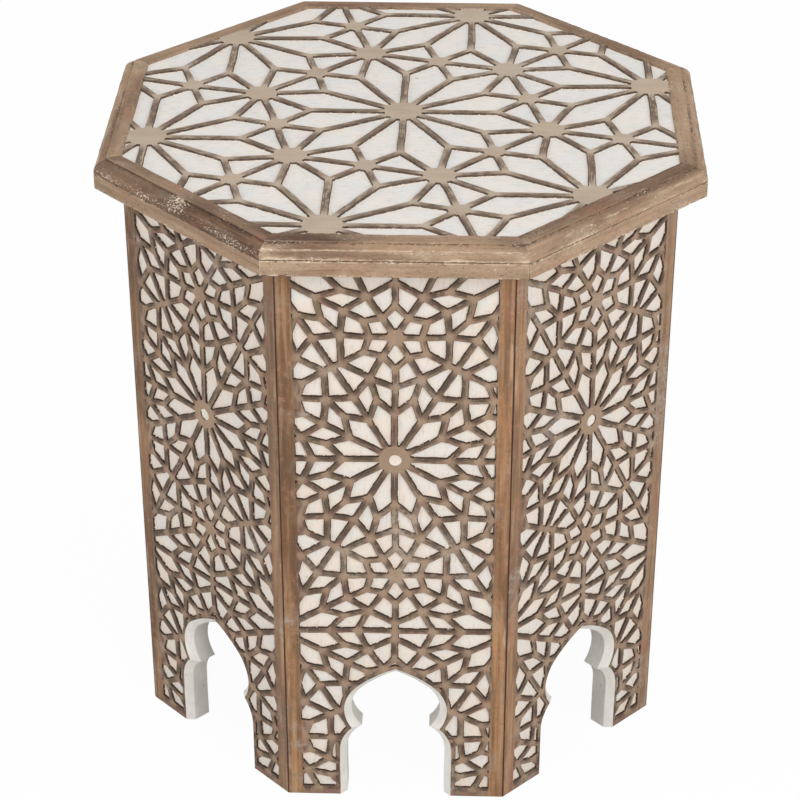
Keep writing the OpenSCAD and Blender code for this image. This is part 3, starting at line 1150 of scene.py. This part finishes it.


# %% [markdown]
# ## The carved faces
# Three coats lie on a carved face. The bars are wood, stained darker towards their edges and painted
# darker towards one edge as shade, so thin bars look darker than the round hubs. The walls of the
# pockets are charred dark, and painted darker still as shade. The floors are limewashed, and the
# paint climbs the walls here and there. The depth decides which coat shows.

# %% Bars, burnt walls and white floors
def carved_finish(name, light, dark, stain_and_shade, hub_tone, burnt_and_shaded, white, fibres, bite, tilt):
    """A carved face. Bite says how far paint climbs the walls, and tilt which side of a bar is painted
    darker as shade.
    """
    finish = Finish(name)
    depth = finish.mark("depth")
    wear = finish.mark("wear")
    knot = finish.mark("knot")
    away = 1 - knot
    ragged = finish.figure((330, 330, 330), 4.0, 0.7) - 0.5
    smudge = finish.figure((70, 45, 70)) - 0.5
    mottle = finish.figure((190, 190, 190), 4.0, 0.65)

    # Each bar has its own tint, and streaks of staining that the gouge left along it; one side of each
    # bar is painted darker as shade
    run = finish.mark("run", "Vector")
    own = finish.figure((0, 0, 37), 1.0, 0.55, place=run)
    other = finish.figure((0, 0, 53), 1.0, 0.55, place=run)
    streak = finish.figure((700, 70, 10), 4.0, 0.65, place=run)
    across = finish.node("ShaderNodeSeparateXYZ", None, [run]) * (1 / (2.2 * mm))
    # Across each bar the darkening grows towards the side that tilt picks, which is painted shade
    shaded_side_lean = (finish.step(other, 0.4, 0.6) - 0.5) * 0.2 + tilt
    soot_and_shade = streak + across * shaded_side_lean + (own - 0.5) * 0.7 + smudge * 0.6
    plain = finish.step(wear, 0.0, 0.1) * 0.85
    wood, height = wood_tone(finish, light, dark, fibres)
    tone = finish.glazed(wood, [
        ((146, 98, 88), away * 0.7, own, 0.51, 0.62),
        ((122, 108, 76), away * 0.7, own, 0.47, 0.36),
        # Staining and painted shade together darken the bars
        (stain_and_shade, away * (1 - plain), soot_and_shade, 0.34, 0.56),
        ((190, 172, 152), away * 0.4, streak + smudge * 0.6, 0.42, 0.26),
        (hub_tone, 0.6, knot + smudge, 0.45, 1.1),
    ])

    # The plain edges are browner, with olive and reddish clouds, rubbed and dark at the joint
    cloudy = mottle + smudge * 0.8
    rubbed = finish.figure((160, 25, 160)) - 0.5
    edge_tone = finish.glazed(wood_tone(finish, (170, 124, 82), (102, 68, 40), 0.75)[0], [
        ((112, 92, 58), 0.5, cloudy, 0.52, 0.75),
        ((186, 140, 108), 0.4, cloudy, 0.46, 0.24),
    ])
    tone = finish.glazed(tone, [
        (edge_tone, finish.mark("brown"), wear, 0.0, 0.15),
        ((204, 170, 142), finish.step(rubbed, 0.0, 0.18) * 0.6, wear, 0.6, 0.85),
        ((82, 48, 31), 0.85, wear + rubbed * 0.1, 0.91, 0.96),
    ])
    tone = paint_dust(finish, tone, 0.5)

    # A thin haze of limewash lies over the bars and the charred walls alike in some places; the walls
    # are also painted darker as shade
    haze = finish.step(finish.figure((15, 12, 15), 4.0, 0.65), 0.54, 0.68)
    haze = haze * finish.step(ragged + mottle, 0.3, 0.7)
    # The walls' colour is charred wood, painted darker as the shade inside the pockets
    burnt_shaded_wall = finish.blend(finish.step(mottle, 0.35, 0.68), *burnt_and_shaded)
    burnt_shaded_wall = finish.blend(haze * 0.6, burnt_shaded_wall, (150, 136, 122))
    tone = finish.blend(haze * 0.55, tone, (188, 176, 163))
    tone = finish.blend(finish.step(depth + ragged * 0.6, 0.1, 0.3), tone, burnt_shaded_wall)

    # The floors are white, with cooler and warmer clouds, brush strokes and stains
    cloud = finish.figure((34, 34, 34), 3.0)
    tint = finish.figure((51, 51, 51), 3.0)
    brush = finish.figure((480, 110, 480), 4.0, 0.65)
    coat = finish.glazed(finish.blend(finish.step(cloud, 0.35, 0.65), white[0], white[1]), [
        ((224, 212, 214), 0.4, tint, 0.52, 0.7),
        ((214, 220, 208), 0.4, tint, 0.46, 0.3),
        ((196, 180, 164), 0.5, brush, 0.5, 0.75),
        ((168, 148, 130), 0.35, mottle, 0.64, 0.74),
    ])
    crumb = finish.figure((520, 520, 520), 3.0, 0.7) - 0.5
    climb = finish.step(ragged, 0.03, 0.22) * bite + crumb * 0.8
    floor = finish.step(depth + climb, 1.55, 1.75)
    settled = finish.step(depth, 1.9, 1.98)
    lip = finish.blend(settled, white[2], coat)
    tone = finish.blend(finish.step(floor + settled, 0.0, 1.0), tone, lip)
    bump = finish.bump(height, 0.3 * mm, 0.5)
    bump = finish.bump(brush * floor + ragged + streak * away, 0.3 * mm, 0.6, bump)
    finish.set(Base_Color=tone, Roughness=0.74 + ragged * 0.25, Normal=bump)
    return finish.material


# In both calls tilt picks the side of each bar that is painted darker as shade
carved_side_wood = carved_finish(
    "carved limewashed sides", (148, 123, 101), (112, 89, 71), (84, 67, 53), (170, 143, 118),
    # Charred wall colours, painted darker as the shade in the pockets
    burnt_and_shaded=((36, 24, 16), (66, 47, 34)),
    white=((229, 222, 214), (233, 219, 204), (226, 204, 182)),
    fibres=0.3, bite=1.4, tilt=0.24,
)
carved_top_wood = carved_finish(
    "carved limewashed top", (186, 168, 148), (156, 136, 116), (110, 92, 77), (196, 178, 158),
    # Charred wall colours, painted darker as the shade in the pockets
    burnt_and_shaded=((66, 52, 43), (108, 90, 76)),
    white=((228, 226, 223), (234, 227, 219), (226, 210, 190)),
    fibres=0.15, bite=0.7, tilt=-0.1,
)


# %% Rim and strips, arch paint and bare wood
def strip_finish():
    finish = Finish("worn rim wood")
    wear = finish.mark("wear")
    chips = finish.mark("chips")
    light = 1 - finish.mark("shade") * 0.7
    blotch = finish.figure((150, 70, 150), 5.0, 0.7)
    rubbed = finish.figure((110, 30, 110), 5.0, 0.7) - 0.5
    fine = finish.figure((420, 260, 420), 4.0, 0.7) - 0.5
    grit = finish.figure((620, 460, 620), 5.0, 0.75)
    where = finish.figure((60, 28, 60), 3.0) - 0.5
    dusty = light * finish.step(wear, -0.4, 0.9)
    wood, height = wood_tone(finish, (178, 148, 120), (90, 63, 46), 0.3)
    tone = finish.glazed(wood, [
        ((150, 130, 94), light * 0.75, blotch, 0.51, 0.68),
        ((172, 130, 110), light * 0.65, blotch, 0.47, 0.3),
        ((210, 190, 166), dusty * 0.62, where + rubbed * 0.8, -0.03, 0.16),
        ((84, 61, 45), 0.65, fine, 0.03, 0.22),
        # Pale where rubbed; along the middle of the top's round this is a painted highlight
        ((216, 192, 165), 0.8, wear + rubbed * 2.2 + fine, 0.6, 1.15),
        # Darker where the wear mark is negative, which at the strips' joints is dirt and painted shade
        ((66, 49, 38), 0.85, fine * 1.3 + where * 1.6 - wear, 0.35, 0.95),
        ((56, 41, 32), 0.7, grit + chips * 0.05 + where * 0.2, 0.38, 0.32),
        ((232, 212, 190), 0.9, grit + chips * 0.06 + where * 0.35, 0.645, 0.69),
    ])
    bump = finish.bump(height * 0.6 + fine + grit, 0.4 * mm, 0.7)
    finish.set(Base_Color=tone, Roughness=0.755 + rubbed * 0.15, Normal=bump)
    return finish.material


def arch_finish():
    finish = Finish("arch paint")
    coat = finish.figure((60, 40, 60))
    brush = finish.figure((420, 60, 420))
    bare = finish.figure((220, 120, 220), 4.0, 0.65)
    white = finish.blend(finish.step(coat, 0.35, 0.65), (234, 230, 224), (222, 218, 210))
    white = finish.glazed(white, [
        ((206, 198, 186), 0.3, brush, 0.5, 0.72),
        ((150, 126, 104), 0.7, bare, 0.66, 0.74),
    ])
    bump = finish.bump(brush, 0.3 * mm, 0.4)
    finish.set(Base_Color=white, Roughness=0.66 + brush * 0.15, Normal=bump)
    return finish.material


def bare_wood(name, figure, fibres, light, dark, streaks, on_object=False):
    """Bare wood, given the scales of its figure and of its fibres, and three paints."""
    finish = Finish(name)
    place = finish.node("ShaderNodeTexCoord", output="Object") if on_object else None
    broad = finish.figure(figure, 3.0, 0.5, 0.8, place)
    fibre = finish.figure(fibres, 4.0, 0.6, 0.0, place)
    tone = finish.blend(finish.step(broad, 0.35, 0.7), light, dark)
    tone = finish.glazed(tone, [(streaks, 0.5, fibre, 0.48, 0.7)])
    bump = finish.bump(fibre, 0.3 * mm, 0.5)
    finish.set(Base_Color=tone, Roughness=0.75 + fibre * 0.1, Normal=bump)
    return finish.material


rim_wood = strip_finish()
arch_paint = arch_finish()
raw_wood = bare_wood(
    "bare plank wood", (35, 6, 35), (320, 14, 320), (176, 140, 104), (150, 114, 82), (124, 92, 62)
)


# %% Give each face its finish
def dress(piece, finishes, which):
    piece.data.materials.clear()
    for finish in finishes:
        piece.data.materials.append(finish)
    for face in piece.data.polygons:
        face.material_index = which(face)


arch_edge = arch_line(-0.2)
arch_high = 128 * mm
arch_half_w = 45.5 * mm
below_pockets = -2.3 * mm


def in_arch(x, y):
    """Whether a place lies within the arch's outline."""
    crossings = 0
    for here, there in zip(arch_edge, arch_edge[1:]):
        if (here.y > y) != (there.y > y):
            share = (y - here.y) / (there.y - here.y)
            crossings += x < here.x + share * (there.x - here.x)
    return crossings % 2 == 1


def side_face_kind(face):
    """0 for the carved face, 1 for the arch's paint, 2 for bare wood."""
    middle = face.center
    near = 0.01 * mm
    if middle.z < near - panel_t or not near < middle.y < panel_h - near:
        return 2
    on_mitre = abs(middle.x) > panel_half_w + middle.z * tan(HALF_CORNER) - 1 * mm
    if on_mitre:
        return 2 if middle.z < -1 * mm else 0
    if middle.z < below_pockets:
        return 1
    near_arch = middle.y < arch_high and middle.z < -near and abs(middle.x) < arch_half_w
    return 1 if near_arch and in_arch(middle.x, middle.y) else 0


for board in sides:
    dress(board, [carved_side_wood, arch_paint, raw_wood], side_face_kind)
for strip in strips:
    dress(strip, [rim_wood, raw_wood], lambda face: 0 if face.center.z > -15 * mm else 1)


def top_face_kind(face):
    if face.normal.z < -0.9:
        return 2
    return 0 if octagon_reach(face.center) < carved_r else 1


dress(top, [carved_top_wood, rim_wood, raw_wood], top_face_kind)
print("arch faces of one side:", sum(f.material_index == 1 for f in sides[0].data.polygons))


# %% [markdown]
# ## Standing the boards up
# A bench piece has its length along Y and its face up. A quarter turn about X stands it up facing
# the front, a move takes it out to its distance, and a turn about Z takes it to its own side.

# %% Put every board in its place
soft_below = radians(32)


def stand(piece, number, distance):
    upright = Matrix.Rotation(radians(90), 4, "X")
    out = Matrix.Translation((0, -distance, 0))
    round_to = Matrix.Rotation(radians(45 * (number - 1)), 4, "Z")
    piece.data.transform(round_to @ out @ upright)


def settle(piece, node):
    pick(piece)
    bpy.ops.object.shade_smooth_by_angle(angle=soft_below)
    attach(piece, "root")
    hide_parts(node)


for number, board in enumerate(sides, 1):
    stand(board, number, body_r)
    settle(board, "side_panel_%d" % number)
for number, strip in enumerate(strips, 1):
    stand(strip, number, top_r)
    settle(strip, "edge_strip_%d" % number)
top.data.transform(Matrix.Translation((0, 0, table_h)))
settle(top, "top_board")
bpy.data.objects.remove(side_cells)
bpy.data.objects.remove(hub_plugs)


# %% [markdown]
# ## The hidden frame
# Glue blocks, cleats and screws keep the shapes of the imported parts. They are seen from below, so
# they get bare wood and dull steel. These parts have no attributes, so their finishes read Object
# coordinates, with the grain along the height of a block.

# %% Finishes of the hidden parts
def steel_finish():
    finish = Finish("zinc plated steel")
    place = finish.node("ShaderNodeTexCoord", output="Object")
    haze = finish.figure((220, 220, 220), 4.0, 0.6, 0.0, place)
    tone = finish.blend(finish.step(haze, 0.4, 0.7), (190, 188, 180), (160, 156, 146))
    finish.set(Base_Color=tone, Metallic=1.0, Roughness=0.3 + haze * 0.25)
    return finish.material


hidden_streaks = (128, 98, 66)
hidden_finishes = {
    "corner_block": bare_wood(
        "block wood", (40, 40, 3.2), (330, 330, 26.4), (186, 152, 112), (160, 126, 88),
        hidden_streaks, on_object=True,
    ),
    "top_cleat": bare_wood(
        "cleat wood", (12, 12, 40), (99, 99, 330), (182, 146, 106), (156, 120, 84),
        hidden_streaks, on_object=True,
    ),
    "board_screws": steel_finish(),
}
hidden_finishes["cleat_screws"] = hidden_finishes["board_screws"]
for name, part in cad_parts.items():
    for start, finish in hidden_finishes.items():
        if name.startswith(start):
            for place in part.material_slots:
                place.material = finish
print("hidden parts dressed")

# %% [markdown]
# ## Floor, light and camera
# The photograph has a plain white ground and very even light. A floor that is mostly white for the
# camera, and a little diffuse, keeps a faint shadow. A bright world and two large soft lamps light
# the table from above and from both sides of the camera.

# %% The stage
lit_floor_share = 0.03
bpy.ops.object.select_all(action="DESELECT")
bpy.ops.mesh.primitive_plane_add(size=30)
floor = bpy.context.object
floor.name = "floor"


def stage_material():
    """White for the camera, apart from a small share that takes the light and the shadow."""
    finish = Finish("white ground")
    finish.set(Base_Color=(0.9, 0.9, 0.9, 1), Roughness=0.9)
    seen = finish.node("ShaderNodeLightPath", output="Is Camera Ray")
    glow = finish.node("ShaderNodeEmission", None, {"Color": (1, 1, 1, 1), "Strength": 1.0})
    shader = Wire(finish, finish.shader.outputs[0])
    mix = finish.node("ShaderNodeMixShader", None, [seen * (1 - lit_floor_share), shader, glow])
    finish.plug(finish.out.inputs["Surface"], mix)
    return finish.material


floor.data.materials.append(stage_material())

world_light = 0.5
world = bpy.data.worlds.new("studio")
bpy.context.scene.world = world
world.use_nodes = True
tree = world.node_tree
ground = tree.nodes["Background"]
sky = tree.nodes.new("ShaderNodeBackground")
for shader, strength in ((ground, world_light), (sky, 1.0)):
    shader.inputs["Color"].default_value = (1, 1, 1, 1)
    shader.inputs["Strength"].default_value = strength
path = tree.nodes.new("ShaderNodeLightPath")
mix = tree.nodes.new("ShaderNodeMixShader")
tree.links.new(path.outputs["Is Camera Ray"], mix.inputs[0])
tree.links.new(ground.outputs[0], mix.inputs[1])
tree.links.new(sky.outputs[0], mix.inputs[2])
tree.links.new(mix.outputs[0], tree.nodes["World Output"].inputs["Surface"])


# %% Lamps and camera
def lamp(name, place, size, watts, aim=(0, 0, 0.3)):
    data = bpy.data.lights.new(name, "AREA")
    data.size = size
    data.energy = watts
    item = bpy.data.objects.new(name, data)
    item.location = place
    item.rotation_euler = (Vector(aim) - Vector(place)).to_track_quat("-Z", "Y").to_euler()
    bpy.context.collection.objects.link(item)
    return item


lamp("key", (1.6, -2.4, 2.0), 1.6, 46)
lamp("fill", (-2.4, -1.8, 1.5), 2.0, 27)
lamp("above", (0.2, 0.2, 2.8), 1.8, 14)

camera_data = bpy.data.cameras.new("camera")
camera_data.lens = 112.2
camera_data.sensor_width = 36
camera_data.clip_end = 50
camera = bpy.data.objects.new("camera", camera_data)
camera.location = (0.050, -1.764, 1.314)
camera.rotation_euler = (radians(90 - 31.17), 0, radians(1.71))
bpy.context.collection.objects.link(camera)
bpy.context.scene.camera = camera
bpy.context.scene.view_settings.view_transform = "Standard"

# %% [markdown]
# ## Update the scene
# The dressed table must be as large as the imported parts, so both boxes are kept.

# %% Finish
bpy.context.view_layer.update()
